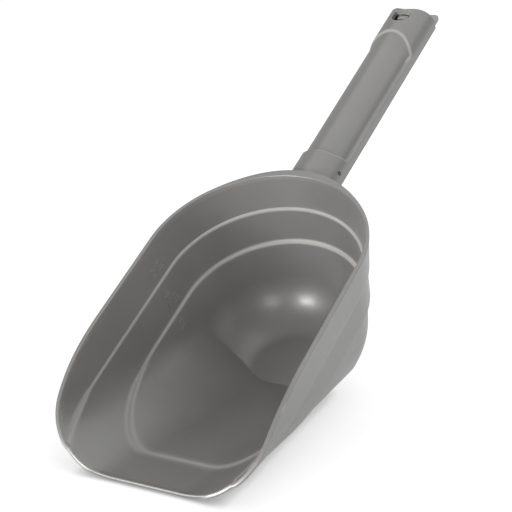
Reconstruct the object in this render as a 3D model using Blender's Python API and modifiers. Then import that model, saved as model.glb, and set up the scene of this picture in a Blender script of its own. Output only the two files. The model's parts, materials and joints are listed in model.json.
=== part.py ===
"""Plastic scoop with a bag clip built into its handle.

Everything is drawn in the rim frame: the flat part of the rim lies in the plane z = 0, the bowl
hangs below it, the handle runs along +Y and the middle of the bowl's round back is the origin.
One empty then tilts the rim frame, so that the sloping floor of the bowl lies flat on z = 0.
"""

import math

import bmesh
import bpy
from mathutils import Matrix, Vector

MM = 0.001
OBJECT_NAME = "scoop"

# Bowl, in millimetres. Widths are inside widths; depths are measured down from the rim plane.
HALF_WIDTH = 51.75
BACK_REACH = 51.4
SIDE_TAPER = 0.005
BASE_DEPTH = 75.5
RAMP_SLOPE = math.radians(27.07)
LIP_REACH = 115.3
LIP_DEPTH = 23.7
WALL = 2.1
TROUGH_FILLET = 29.2
SIDE_FILLET_REACH = 18.0
SIDE_FILLET_RISE = 23.0
BACK_FILLET_REACH = 18.5
BACK_FILLET_RISE = 22.5

# Wall lean: a draft for each band of the wall and one step at each fill-line ledge between them.
LEDGE_DEPTHS = (16.9, 35.2)
BAND_DRAFTS = (0.2, 0.13, 0.2)
LEDGE_STEP = 0.9
LEDGE_SLANT = 0.35

# The rim is level over the back of the bowl and then dips to the lip as a superellipse.
LEVEL_RIM_REACH = 48.6
DIP_POWER_START = 2.6
DIP_POWER_END = 1.14
BEAD_WIDTH = 2.05
BEAD_HEIGHT = 2.4
BEAD_ROUNDING = 0.7
BEAD_START = 1.2

# Towards the handle the rim widens into a flange.
FLANGE_WIDTH = 2.4
FLANGE_SPREAD = 37.6

# Loft resolution: columns round half of the bowl.
FRONT_CELLS = 4
CORNER_CELLS = 10
WALL_CELLS = 20

# Handle: an inverted U with a round top, open below.
HANDLE_HALF_WIDTH = 12.4
HANDLE_AXIS_Z = -13.95
HANDLE_BOTTOM_Z = -17.4
HANDLE_WALL = 2.4
HANDLE_START = 40.0
HANDLE_END = 195.4
CHANNEL_START = 57.6
END_ROUND_REACH = 9.2
END_ROUND_RISE = 16.4
END_ROUND_POWER = 2.5
END_WALL = 2.1
ARCH_STEPS = 21
END_STEPS = 10
CUT_MARGIN = 5.0

# Recess over the top of the handle for the palm.
GRIP_START = 74.5
GRIP_APEX = 171.0
GRIP_ARCH_RADIUS = 14.0
GRIP_DEPTH = 1.15
GRIP_SIDE_Z = -11.8

# Window at the end of the handle, for hanging and for the clip's hook.
WINDOW_NEAR = 178.4
WINDOW_FAR = 187.4
WINDOW_HALF_WIDTH = 4.7
WINDOW_ROUND = 4.7
WINDOW_CUT = 12.0

# Ribs inside the handle that pinch a folded bag against the lever's rib.
RIB_START = 82.0
RIB_END = 172.0
RIB_THICKNESS = 1.3
RIB_SPREAD = 4.0
RIB_BOTTOM_Z = -12.0
RIB_RISE = 9.6

# Clip lever and its hinge pin.
PIN_Y = 68.3
PIN_Z = -11.3
PIN_RADIUS = 1.2
PIN_FIT = 0.04
LEVER_FIT = 0.08
PIN_INSET = 0.5
KNUCKLE_RADIUS = 3.8
KNUCKLE_HALF_WIDTH = 7.0
LEVER_HALF_WIDTH = 9.6
LEVER_START = 66.9
LEVER_THICKNESS = 3.1
LEVER_RIB_TOP_Z = -9.5
HOOK_NEAR = 183.6
HOOK_FAR = 187.2
HOOK_HALF_WIDTH = 2.7
HOOK_TOP_Z = -4.4
TAB_START = 196.0
TAB_END = 202.2
TAB_TOP_Z = -13.4
TAB_BOTTOM_Z = -17.4
TAB_RIDGES = 2
TAB_RIDGE_RADIUS = 0.6
TAB_RIDGE_PITCH = 1.4
TAB_ROUNDING = 1.3
TAB_SIDE_GAP = 0.2
NOTCH_GAP = 0.5
NECK_INSET = 0.4
JOIN_OVERLAP = 1.0
PIN_STEPS = 32
GRIP_STEPS = 17
WINDOW_STEPS = 15

# Steps of the search for where two surfaces meet.
SEARCH_STEPS = 40


# --- Shape of the bowl ---------------------------------------------------------------------


def ledge_step(ledge, depth, skin):
    """How much of one ledge's step has been taken at a depth."""
    past = (depth - ledge - skin) / LEDGE_SLANT
    return LEDGE_STEP * min(max(past, 0.0), 1.0)


def wall_lean(depth, skin):
    """How far the wall has moved inwards at a depth; skin is 0 inside and WALL outside."""
    lean = 0.0
    top = 0.0
    for draft, ledge in zip(BAND_DRAFTS, (*LEDGE_DEPTHS, BASE_DEPTH)):
        bottom = ledge + skin
        lean += draft * (min(depth, bottom) - min(depth, top))
        top = bottom
    return lean + sum(ledge_step(ledge, depth, skin) for ledge in LEDGE_DEPTHS)


def half_width(depth, y, skin):
    """Half width of the parallel sides at a depth and a station y."""
    return HALF_WIDTH + skin - wall_lean(depth, skin) - SIDE_TAPER * max(-y, 0.0)


def crease_y(skin):
    """Station where the sloping floor meets the flat base."""
    inside = -LIP_REACH + (BASE_DEPTH - LIP_DEPTH) / math.tan(RAMP_SLOPE)
    return inside - skin * math.tan(RAMP_SLOPE / 2)


def trough_point(angle, depth, skin):
    """Corner between the sloping floor (angle 90 degrees) and the side wall (0), at a depth.

    The lower ledge steps across the floor inside; the underside of the floor stays flat.
    """
    radius = TROUGH_FILLET + skin
    floor_depth = depth + radius * (1.0 - math.sin(angle))
    y = crease_y(skin) - (BASE_DEPTH + skin - floor_depth) / math.tan(RAMP_SLOPE)
    x = half_width(depth, y, skin) - radius * (1.0 - math.cos(angle))
    if skin == 0.0:
        y += ledge_step(LEDGE_DEPTHS[1], depth, skin)
    return x, y


def fillet_inset(depth, skin, reach, rise):
    """How far a fillet round the flat base has moved inwards at a depth."""
    sine = (depth - BASE_DEPTH + rise) / (rise + skin)
    sine = min(max(sine, 0.0), 1.0)
    return (reach + skin) * (1.0 - math.sqrt(1.0 - sine * sine))


def side_inset(depth, skin):
    """Inset of the fillet along the sides."""
    return fillet_inset(depth, skin, SIDE_FILLET_REACH, SIDE_FILLET_RISE)


def back_axes(depth, skin):
    """Half axes of the round back at a depth."""
    back_inset = fillet_inset(depth, skin, BACK_FILLET_REACH, BACK_FILLET_RISE)
    across = half_width(depth, 0.0, skin) - side_inset(depth, skin)
    along = BACK_REACH + skin - wall_lean(depth, skin) - back_inset
    return across, along


def inside_back(x, y, depth, skin):
    """Whether a point lies inside the round back and the sides that run on from it."""
    if y <= 0.0:
        return x <= half_width(depth, y, skin) - side_inset(depth, skin) + 1e-9
    across, along = back_axes(depth, skin)
    return (x / across) ** 2 + (y / along) ** 2 <= 1.0


def meeting_angle(depth, skin):
    """Angle at which the trough's corner meets the side wall or the round back."""
    low, high = 0.0, math.pi / 2
    if inside_back(*trough_point(low, depth, skin), depth, skin):
        return low
    for _ in range(SEARCH_STEPS):
        middle = (low + high) / 2
        if inside_back(*trough_point(middle, depth, skin), depth, skin):
            high = middle
        else:
            low = middle
    return high


def contour_point(column, depth, skin):
    """Point of the level contour at a depth, on one column of the loft."""
    if column <= FRONT_CELLS:
        corner_x, corner_y = trough_point(math.pi / 2, depth, skin)
        return corner_x * column / FRONT_CELLS, corner_y
    meeting = meeting_angle(depth, skin)
    if column <= FRONT_CELLS + CORNER_CELLS:
        share = (column - FRONT_CELLS) / CORNER_CELLS
        return trough_point(math.pi / 2 + (meeting - math.pi / 2) * share, depth, skin)
    share = (column - FRONT_CELLS - CORNER_CELLS) / WALL_CELLS
    start_x, start_y = trough_point(meeting, depth, skin)
    across, along = back_axes(depth, skin)
    straight = max(-start_y, 0.0)
    start_angle = 0.0 if start_y < 0.0 else math.atan2(start_y / along, start_x / across)
    arc = (math.pi / 2 - start_angle) * (across + along) / 2
    run = share * (straight + arc)
    if run < straight:
        y = start_y + run
        return half_width(depth, y, skin) - side_inset(depth, skin), y
    angle = start_angle + (math.pi / 2 - start_angle) * (run - straight) / arc
    return across * math.cos(angle), along * math.sin(angle)


def skin_point(column, depth, skin):
    """The same point as a vector in the rim frame."""
    x, y = contour_point(column, depth, skin)
    return Vector((x, y, -depth))


def rim_depth(y):
    """Depth of the rim at a station y."""
    if y >= -LEVEL_RIM_REACH:
        return 0.0
    if y <= -LIP_REACH:
        return math.inf
    share = (-LEVEL_RIM_REACH - y) / (LIP_REACH - LEVEL_RIM_REACH)
    return LIP_DEPTH * (1.0 - (1.0 - share**DIP_POWER_START) ** (1.0 / DIP_POWER_END))


def cut_depth(column, skin):
    """Depth at which one column of the loft reaches the rim."""
    low, high = 0.0, BASE_DEPTH
    if rim_depth(contour_point(column, low, skin)[1]) <= 0.0:
        return 0.0
    for _ in range(SEARCH_STEPS):
        middle = (low + high) / 2
        if middle < rim_depth(contour_point(column, middle, skin)[1]):
            low = middle
        else:
            high = middle
    return high


def depth_below_rim(column, skin, start, distance):
    """Depth on a column that lies a distance along the wall from its depth at the rim."""
    top = skin_point(column, start, skin)
    low, high = start, start + distance
    for _ in range(SEARCH_STEPS):
        middle = (low + high) / 2
        if (skin_point(column, middle, skin) - top).length < distance:
            low = middle
        else:
            high = middle
    return high


def ring_depths(skin):
    """Depths of the loft's level rings, from the rim down to the base."""
    first, second = (ledge + skin for ledge in LEDGE_DEPTHS)
    base = BASE_DEPTH + skin
    fillet = SIDE_FILLET_RISE + skin
    depths = [first / 3, 2 * first / 3, first, first + LEDGE_SLANT]
    depths += [first + (second - first) / 3, first + 2 * (second - first) / 3]
    depths += [second, second + LEDGE_SLANT]
    depths += [second + (base - fillet - second) * share for share in (0.33, 0.66, 1.0)]
    steps = 7
    depths += [base - fillet * (1 - math.sin(math.pi / 2 * i / steps)) for i in range(1, steps)]
    return depths + [base]


# --- Mesh helpers --------------------------------------------------------------------------


def new_object(name, mesh):
    """Link a mesh into the scene as an object and return it."""
    item = bpy.data.objects.new(name, mesh)
    bpy.context.scene.collection.objects.link(item)
    return item


def finish_bmesh(name, bm):
    """Close a bmesh into a new object with its normals outwards."""
    bmesh.ops.remove_doubles(bm, verts=bm.verts, dist=0.001 * MM)
    bmesh.ops.recalc_face_normals(bm, faces=bm.faces)
    mesh = bpy.data.meshes.new(name)
    bm.to_mesh(mesh)
    bm.free()
    return new_object(name, mesh)


def loft(name, rings, cap_ends):
    """Skin a list of rings, each a list of points in millimetres."""
    bm = bmesh.new()
    rows = [[bm.verts.new(point * MM) for point in ring] for ring in rings]
    for lower, upper in zip(rows, rows[1:]):
        for i in range(len(lower) - 1):
            bm.faces.new((lower[i], lower[i + 1], upper[i + 1], upper[i]))
    if cap_ends:
        bm.faces.new(rows[0])
        bm.faces.new(reversed(rows[-1]))
    return finish_bmesh(name, bm)


def apply_modifiers(item):
    """Replace an object's mesh by the result of its modifiers."""
    graph = bpy.context.evaluated_depsgraph_get()
    mesh = bpy.data.meshes.new_from_object(item.evaluated_get(graph))
    item.modifiers.clear()
    item.data = mesh


def mirror_half(item):
    """Complete an object that is open at the plane x = 0."""
    mirror = item.modifiers.new("mirror", "MIRROR")
    mirror.merge_threshold = 0.01 * MM
    apply_modifiers(item)


def combine(item, other, operation):
    """Join another object to this one, or cut it away, and remove the other object."""
    boolean = item.modifiers.new(operation, "BOOLEAN")
    boolean.solver = "EXACT"
    boolean.operation = operation
    boolean.object = other
    apply_modifiers(item)
    bpy.data.objects.remove(other)


def box(name, low, high):
    """A box between two corners given in millimetres."""
    bm = bmesh.new()
    size = Vector(high) - Vector(low)
    centre = (Vector(high) + Vector(low)) / 2
    place = Matrix.Translation(centre * MM) @ Matrix.Diagonal((*(size * MM), 1.0))
    bmesh.ops.create_cube(bm, size=1.0, matrix=place)
    return finish_bmesh(name, bm)


def cross_cylinder(name, radius, half_length, y, z):
    """A cylinder along X."""
    bm = bmesh.new()
    place = Matrix.Translation(Vector((0.0, y, z)) * MM) @ Matrix.Rotation(math.pi / 2, 4, "Y")
    bmesh.ops.create_cone(
        bm,
        cap_ends=True,
        segments=PIN_STEPS,
        radius1=radius * MM,
        radius2=radius * MM,
        depth=2 * half_length * MM,
        matrix=place,
    )
    return finish_bmesh(name, bm)


def prism(name, outline, thickness, turn, place):
    """A flat outline given in millimetres, extruded about its own plane, turned and placed."""
    curve = bpy.data.curves.new(name, "CURVE")
    curve.dimensions = "2D"
    curve.fill_mode = "BOTH"
    curve.extrude = thickness / 2 * MM
    spline = curve.splines.new("POLY")
    spline.points.add(len(outline) - 1)
    for point, (across, up) in zip(spline.points, outline):
        point.co = (across * MM, up * MM, 0.0, 1.0)
    spline.use_cyclic_u = True
    drawn = new_object(name, curve)
    mesh = bpy.data.meshes.new_from_object(drawn)
    bpy.data.objects.remove(drawn)
    mesh.transform(Matrix.Translation(Vector(place) * MM) @ turn)
    bm = bmesh.new()
    bm.from_mesh(mesh)
    return finish_bmesh(name, bm)


# Turns from a curve's own plane: x across and y up becomes the view along Y, from the side
# (y along the handle, z up) or from above (x across, y along the handle).
FACING_Y = Matrix.Rotation(math.pi / 2, 4, "X")
FACING_X = Matrix.Rotation(math.pi / 2, 4, "Z") @ Matrix.Rotation(math.pi / 2, 4, "X")
FACING_Z = Matrix.Identity(4)


# --- Scoop body ----------------------------------------------------------------------------


def bead_corner():
    """The quarter round of one edge of the bead, from its side to its top."""
    steps = 3
    corner = []
    for i in range(steps + 1):
        angle = math.pi / 2 * i / steps
        out = BEAD_ROUNDING * (1.0 - math.cos(angle))
        corner.append((out, BEAD_ROUNDING * (math.sin(angle) - 1.0)))
    return corner


def bead_rings(inner_rim, outer_rim):
    """Rings of the rounded bead that runs along the whole rim, from inside to outside."""
    inner_half = [(out, rise) for out, rise in bead_corner()]
    outer_half = [(BEAD_WIDTH - out, rise) for out, rise in reversed(bead_corner())]
    rings = [[] for _ in range(len(inner_half) + len(outer_half))]
    last = len(inner_rim) - 1
    for i, point in enumerate(inner_rim):
        ahead = inner_rim[min(i + 1, last)]
        behind = inner_rim[max(i - 1, 0)]
        along = (ahead - behind).normalized()
        if i in (0, last):
            along = Vector((1.0 if i == 0 else -1.0, 0.0, 0.0))
        across = outer_rim[i] - point
        across = (across - along * across.dot(along)).normalized()
        up = across.cross(along).normalized()
        widening = flange_width(point)
        profile = inner_half + [(out + widening, rise) for out, rise in outer_half]
        for ring, (out, rise) in zip(rings, profile):
            ring.append(point + across * out + up * rise)
    return rings


def flange_width(point):
    """How much wider the rim is at a point near the handle."""
    if point.y <= 0.0 or point.x >= FLANGE_SPREAD:
        return 0.0
    return FLANGE_WIDTH * (1.0 - (point.x / FLANGE_SPREAD) ** 2) ** 2


def make_bowl():
    """The bowl's shell: inside skin, bead and outside skin as one closed loft."""
    columns = range(FRONT_CELLS + CORNER_CELLS + WALL_CELLS + 1)
    starts = {skin: [cut_depth(i, skin) for i in columns] for skin in (0.0, WALL)}
    inner_rim = [skin_point(i, starts[0.0][i], 0.0) for i in columns]
    outer_rim = [skin_point(i, starts[WALL][i], WALL) for i in columns]
    tops = {
        0.0: [depth_below_rim(i, 0.0, starts[0.0][i], BEAD_START) for i in columns],
        WALL: [depth_below_rim(i, WALL, starts[WALL][i], BEAD_HEIGHT) for i in columns],
    }
    rings = []
    for depth in reversed(ring_depths(0.0)):
        rings.append([skin_point(i, max(depth, tops[0.0][i]), 0.0) for i in columns])
    rings += bead_rings(inner_rim, outer_rim)
    for depth in ring_depths(WALL):
        rings.append([skin_point(i, max(depth, tops[WALL][i]), WALL) for i in columns])
    bowl = loft("scoop_body", rings, cap_ends=True)
    mirror_half(bowl)
    return bowl


def make_plug():
    """A solid that fills the bowl up to the middle of its wall, to trim the handle's root."""
    columns = range(FRONT_CELLS + CORNER_CELLS + WALL_CELLS + 1)
    middle = WALL / 2
    rings = [[skin_point(i, 0.0, middle) + Vector((0.0, 0.0, CUT_MARGIN)) for i in columns]]
    for depth in [0.0] + ring_depths(middle)[:-1]:
        rings.append([skin_point(i, depth, middle) for i in columns])
    plug = loft("plug", rings, cap_ends=True)
    mirror_half(plug)
    return plug


def arch_outline(half, bottom):
    """Outline of the handle's section: straight sides under a half-round top."""
    outline = [(-half, bottom)]
    for i in range(ARCH_STEPS + 1):
        angle = math.pi - math.pi * i / ARCH_STEPS
        outline.append((half * math.cos(angle), HANDLE_AXIS_Z + half * math.sin(angle)))
    return outline + [(half, bottom)]


def end_cutter(inset):
    """Everything beyond the handle's rounded end, moved in by an inset."""
    reach = END_ROUND_REACH - inset
    rise = END_ROUND_RISE - inset
    centre_y = HANDLE_END - END_ROUND_REACH
    outline = []
    for i in range(END_STEPS + 1):
        angle = math.pi / 2 * i / END_STEPS
        along = reach * math.cos(angle) ** (2 / END_ROUND_POWER)
        up = rise * math.sin(angle) ** (2 / END_ROUND_POWER)
        outline.append((centre_y + along, HANDLE_BOTTOM_Z + up))
    beyond = HANDLE_END + 2 * CUT_MARGIN
    below = HANDLE_BOTTOM_Z - CUT_MARGIN
    outline += [(centre_y, CUT_MARGIN), (beyond, CUT_MARGIN)]
    outline += [(beyond, below), (centre_y + reach, below)]
    return prism("end", outline, 4 * HANDLE_HALF_WIDTH, FACING_X, (0.0, 0.0, 0.0))


def make_handle():
    """The hollow handle, open below, with its rounded end wall."""
    length = HANDLE_END + CUT_MARGIN - HANDLE_START
    outline = arch_outline(HANDLE_HALF_WIDTH, HANDLE_BOTTOM_Z)
    handle = prism("handle", outline, length, FACING_Y, (0.0, HANDLE_START + length / 2, 0.0))
    combine(handle, end_cutter(0.0), "DIFFERENCE")
    combine(handle, make_channel(), "DIFFERENCE")
    combine(handle, grip_cutter(), "DIFFERENCE")
    combine(handle, window_cutter(), "DIFFERENCE")
    combine(handle, tab_notch(), "DIFFERENCE")
    for side in (-1, 1):
        centre = side * RIB_SPREAD
        low = (centre - RIB_THICKNESS / 2, RIB_START, RIB_BOTTOM_Z)
        high = (centre + RIB_THICKNESS / 2, RIB_END, HANDLE_AXIS_Z + RIB_RISE)
        combine(handle, box("rib", low, high), "UNION")
    return handle


def make_channel():
    """The hollow inside the handle."""
    length = HANDLE_END + CUT_MARGIN - CHANNEL_START
    outline = arch_outline(HANDLE_HALF_WIDTH - HANDLE_WALL, HANDLE_BOTTOM_Z - CUT_MARGIN)
    channel = prism("channel", outline, length, FACING_Y, (0.0, CHANNEL_START + length / 2, 0.0))
    combine(channel, end_cutter(END_WALL), "DIFFERENCE")
    return channel


def grip_cutter():
    """The recess over the top of the handle: square near the bowl, arched at the far end."""
    centre_y = GRIP_APEX - GRIP_ARCH_RADIUS
    outline = [(-GRIP_ARCH_RADIUS, GRIP_START), (GRIP_ARCH_RADIUS, GRIP_START)]
    for i in range(GRIP_STEPS + 1):
        angle = math.pi * i / GRIP_STEPS
        x = GRIP_ARCH_RADIUS * math.cos(angle)
        outline.append((x, centre_y + GRIP_ARCH_RADIUS * math.sin(angle)))
    height = CUT_MARGIN - GRIP_SIDE_Z
    cutter = prism("grip", outline, height, FACING_Z, (0.0, 0.0, GRIP_SIDE_Z + height / 2))
    length = GRIP_APEX - GRIP_START + 2 * CUT_MARGIN
    core_outline = arch_outline(HANDLE_HALF_WIDTH - GRIP_DEPTH, HANDLE_BOTTOM_Z)
    middle = (GRIP_START + GRIP_APEX) / 2
    core = prism("core", core_outline, length, FACING_Y, (0.0, middle, 0.0))
    combine(cutter, core, "DIFFERENCE")
    return cutter


def window_cutter():
    """The window: straight towards the end of the handle, rounded towards the bowl."""
    outline = [(WINDOW_HALF_WIDTH, WINDOW_FAR), (-WINDOW_HALF_WIDTH, WINDOW_FAR)]
    for i in range(WINDOW_STEPS + 1):
        angle = math.pi + math.pi * i / WINDOW_STEPS
        y = WINDOW_NEAR + WINDOW_ROUND + WINDOW_ROUND * math.sin(angle)
        outline.append((WINDOW_HALF_WIDTH * math.cos(angle), y))
    return prism("window", outline, WINDOW_CUT, FACING_Z, (0.0, 0.0, 0.0))


def tab_notch():
    """The gap under the end wall, through which the lever passes to its tab."""
    half = HANDLE_HALF_WIDTH - HANDLE_WALL
    low = (-half, HANDLE_END - END_ROUND_REACH, HANDLE_BOTTOM_Z - CUT_MARGIN)
    high = (half, HANDLE_END + CUT_MARGIN, HANDLE_BOTTOM_Z + LEVER_THICKNESS + NOTCH_GAP)
    return box("notch", low, high)


def make_scoop_body():
    """Bowl and handle joined into one moulding, with the pin's holes through the walls."""
    body = make_bowl()
    handle = make_handle()
    combine(handle, make_plug(), "DIFFERENCE")
    combine(body, handle, "UNION")
    hole = cross_cylinder("hole", PIN_RADIUS + PIN_FIT, 2 * HANDLE_HALF_WIDTH, PIN_Y, PIN_Z)
    combine(body, hole, "DIFFERENCE")
    return body


# --- Clip ----------------------------------------------------------------------------------


def make_clip_lever():
    """The lever: knuckle on the pin, long jaw with a pinching rib, hook and ridged tab."""
    top_z = HANDLE_BOTTOM_Z + LEVER_THICKNESS
    lever = box(
        "clip_lever",
        (-LEVER_HALF_WIDTH, LEVER_START, HANDLE_BOTTOM_Z),
        (LEVER_HALF_WIDTH, TAB_START + JOIN_OVERLAP / 2, top_z),
    )
    knuckle = cross_cylinder("knuckle", KNUCKLE_RADIUS, KNUCKLE_HALF_WIDTH, PIN_Y, PIN_Z)
    neck = box(
        "neck",
        (-KNUCKLE_HALF_WIDTH + NECK_INSET, LEVER_START + NECK_INSET, top_z - JOIN_OVERLAP),
        (KNUCKLE_HALF_WIDTH - NECK_INSET, PIN_Y + KNUCKLE_RADIUS - NECK_INSET, PIN_Z),
    )
    rib = box(
        "rib",
        (-RIB_THICKNESS / 2, RIB_START, top_z - JOIN_OVERLAP),
        (RIB_THICKNESS / 2, RIB_END, LEVER_RIB_TOP_Z),
    )
    hook = box(
        "hook",
        (-HOOK_HALF_WIDTH, HOOK_NEAR, top_z - JOIN_OVERLAP),
        (HOOK_HALF_WIDTH, HOOK_FAR, HOOK_TOP_Z),
    )
    combine(lever, knuckle, "UNION")
    combine(lever, neck, "UNION")
    combine(lever, rib, "UNION")
    combine(lever, hook, "UNION")
    combine(lever, make_tab(), "UNION")
    bore = cross_cylinder("bore", PIN_RADIUS + LEVER_FIT, 2 * KNUCKLE_HALF_WIDTH, PIN_Y, PIN_Z)
    combine(lever, bore, "DIFFERENCE")
    return lever


def make_tab():
    """The finger tab beyond the end of the handle, with two ridges across it."""
    half = HANDLE_HALF_WIDTH - TAB_SIDE_GAP
    tab = box("tab", (-half, TAB_START, TAB_BOTTOM_Z), (half, TAB_END, TAB_TOP_Z))
    bevel = tab.modifiers.new("bevel", "BEVEL")
    bevel.width = TAB_ROUNDING * MM
    bevel.segments = 3
    apply_modifiers(tab)
    for i in range(TAB_RIDGES):
        z = TAB_TOP_Z - TAB_RIDGE_PITCH * (i + 1)
        ridge = cross_cylinder("ridge", TAB_RIDGE_RADIUS, half - TAB_RIDGE_PITCH, TAB_END, z)
        combine(tab, ridge, "UNION")
    return tab


def make_hinge_pin():
    """The cross pin, sunk a little below both outside faces."""
    half_length = HANDLE_HALF_WIDTH - PIN_INSET
    return cross_cylinder("hinge_pin", PIN_RADIUS, half_length, PIN_Y, PIN_Z)


# --- Materials and assembly ----------------------------------------------------------------


def material(name, colour, roughness, metallic):
    """A plain Principled BSDF material."""
    made = bpy.data.materials.new(name)
    made.use_nodes = True
    shader = made.node_tree.nodes["Principled BSDF"]
    shader.inputs["Base Color"].default_value = (*colour, 1.0)
    shader.inputs["Roughness"].default_value = roughness
    shader.inputs["Metallic"].default_value = metallic
    return made


def shade(item, made):
    """Give an object its material and smooth shading with sharp edges kept."""
    item.data.materials.clear()
    item.data.materials.append(made)
    item.data.shade_smooth()
    item.data.set_sharp_from_angle(angle=math.radians(30))


def move_origin(item, origin):
    """Put an object's origin at a point of the rim frame without moving its mesh."""
    item.data.transform(Matrix.Translation(-origin))
    item.location = origin


def rest_height():
    """Height of the rim frame's origin when the sloping floor's underside lies on z = 0."""
    crease = Vector((0.0, crease_y(WALL), -BASE_DEPTH - WALL)) * MM
    tilted = Matrix.Rotation(RAMP_SLOPE, 3, "X") @ crease
    return -tilted.z


def main():
    for item in list(bpy.data.objects):
        bpy.data.objects.remove(item)
    collection = bpy.data.collections.new(OBJECT_NAME)
    bpy.context.scene.collection.children.link(collection)

    rim_frame = bpy.data.objects.new("rim_frame", None)
    rim_frame.rotation_euler = (RAMP_SLOPE, 0.0, 0.0)
    rim_frame.location = (0.0, 0.0, rest_height())
    collection.objects.link(rim_frame)

    grey = material("grey_plastic", (0.30, 0.29, 0.275), 0.42, 0.0)
    clip_grey = material("clip_plastic", (0.27, 0.26, 0.25), 0.48, 0.0)
    steel = material("pin_steel", (0.45, 0.45, 0.45), 0.35, 1.0)

    body = make_scoop_body()
    lever = make_clip_lever()
    pin = make_hinge_pin()
    hinge = Vector((0.0, PIN_Y, PIN_Z)) * MM
    move_origin(lever, hinge)
    move_origin(pin, hinge)

    for item, made in ((body, grey), (lever, clip_grey), (pin, steel)):
        shade(item, made)
        item.parent = rim_frame
        for home in list(item.users_collection):
            home.objects.unlink(item)
        collection.objects.link(item)


main()
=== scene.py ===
"""Looks of the plastic scoop: fine mouldings, materials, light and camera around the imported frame.

The shapes are drawn in the rim frame, in millimetres: the level part of the rim is the plane
z = 0, the bowl hangs below it and the handle runs along +Y. rim_to_row() then tilts them on to
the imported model, whose hinge and rest plane fix the tilt and the height.
"""

import json
import math
from functools import lru_cache

import bmesh
import bpy
from mathutils import Matrix, Vector


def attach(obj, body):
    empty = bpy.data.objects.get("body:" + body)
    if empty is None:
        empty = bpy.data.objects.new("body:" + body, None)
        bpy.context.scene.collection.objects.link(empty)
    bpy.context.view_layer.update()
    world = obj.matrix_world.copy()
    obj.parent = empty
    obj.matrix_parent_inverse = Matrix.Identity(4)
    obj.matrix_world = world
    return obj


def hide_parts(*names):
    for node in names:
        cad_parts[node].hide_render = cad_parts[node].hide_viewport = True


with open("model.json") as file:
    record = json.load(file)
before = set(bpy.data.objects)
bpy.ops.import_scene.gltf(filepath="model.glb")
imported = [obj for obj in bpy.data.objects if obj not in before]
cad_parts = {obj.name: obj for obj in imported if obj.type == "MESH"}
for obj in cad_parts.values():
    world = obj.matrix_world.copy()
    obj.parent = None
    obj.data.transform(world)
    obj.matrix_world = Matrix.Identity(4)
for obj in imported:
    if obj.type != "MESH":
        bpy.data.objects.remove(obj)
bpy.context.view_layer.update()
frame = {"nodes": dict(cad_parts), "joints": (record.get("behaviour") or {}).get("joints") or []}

MM = 0.001

# Bowl, in millimetres. Widths are inside widths; depths are measured down from the rim plane.
HALF_WIDTH = 51.75
BACK_REACH = 51.4
SIDE_TAPER = 0.005
BASE_DEPTH = 75.5
RAMP_SLOPE = math.radians(27.07)
LIP_REACH = 115.3
LIP_DEPTH = 23.7
WALL = 2.1
TROUGH_FILLET = 29.2
SIDE_FILLET_REACH = 18.0
SIDE_FILLET_RISE = 23.0
BACK_FILLET_REACH = 18.5
BACK_FILLET_RISE = 22.5
LEDGE_DEPTHS = (16.9, 35.2)
BAND_DRAFTS = (0.2, 0.13, 0.2)
LEDGE_STEP = 1.1
LEDGE_SLANT = 0.4
LEVEL_RIM_REACH = 48.6
DIP_POWER_START = 2.6
DIP_POWER_END = 1.14
BEAD_WIDTH = 2.05
BEAD_HEIGHT = 2.4
BEAD_ROUNDING = 0.7
BEAD_INNER_HEIGHT = 1.4
# Foot of the bead, as inset from its outside, share of the flange's width, and rise.
BEAD_FOOT = ((0.04, 0.0, -1.0), (0.1, 0.1, -1.4), (0.16, 0.35, -1.7))
FLANGE_WIDTH = 2.4
FLANGE_SPREAD = 37.6

# Resolution of the bowl: cells round half of it, and the spacing of its level rings.
FRONT_CELLS = 20
CORNER_CELLS = 44
WALL_CELLS = 96
COLUMNS = range(FRONT_CELLS + CORNER_CELLS + WALL_CELLS + 1)
RING_PITCH = 1.3
LEDGE_CELLS = 6
FILLET_CELLS = 30
BEAD_CELLS = 6
BASE_SHARES = (0.0, 0.3, 0.6, 0.85, 0.96)

# Halvings in the searches for a meeting angle and for a depth at the rim.
ANGLE_HALVINGS = 40
DEPTH_HALVINGS = 30
TOUCHING = 1e-9

# Points closer than this are one.
MERGE_DISTANCE = 0.0005

# Handle, in millimetres.
HANDLE_HALF_WIDTH = 12.4
HANDLE_ROOT_INSET = 0.25
HANDLE_WIDENING = 0.4
HANDLE_WIDENING_LENGTH = 110.0
HANDLE_AXIS_Z = -13.95
HANDLE_BOTTOM_Z = -17.4
HANDLE_WALL = 2.4
HANDLE_END = 195.4
CHANNEL_START = 57.6
END_ROUND_REACH = 9.2
END_ROUND_RISE = 16.4
END_ROUND_POWER = 2.5
END_WALL = 2.1
END_EDGE = 0.6
ROOT_FILLET = 3.6
ROOT_TOP_SHARE = 0.42
ROOT_SINK = 0.8
ROOT_CELLS = 12
FLANGE_BLEND = 6.0
GRIP_START = 73.5
GRIP_BOW = 0.1
GRIP_BOW_START = 6.0
GRIP_APEX = 171.4
GRIP_ARCH_RADIUS = 14.0
GRIP_SIDE_Z = -12.1
GRIP_DEPTH = 1.15
ARCH_SLOPE_WIDTH = 2.0
NEAR_SLOPE_WIDTH = 0.8
SIDE_SLOPE_WIDTH = 1.1
WINDOW_NEAR = 178.4
WINDOW_FAR = 187.4
WINDOW_HALF_WIDTH = 4.7
WINDOW_ROUND = 4.7
WINDOW_CORNER = 0.8
WINDOW_CUT = 7.0
RIB_START = 82.0
RIB_END = 172.0
RIB_THICKNESS = 1.3
RIB_SPREAD = 4.0
RIB_BOTTOM_Z = -12.0
RIB_RISE = 9.6
PIN_Y = 68.3
PIN_Z = -11.3
PIN_HOLE_RADIUS = 1.24
LEVER_THICKNESS = 3.1
LEVER_GAP = 0.5
# How far the cutting tools reach past the faces they cut.
CUT_MARGIN = 3.0

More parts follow.
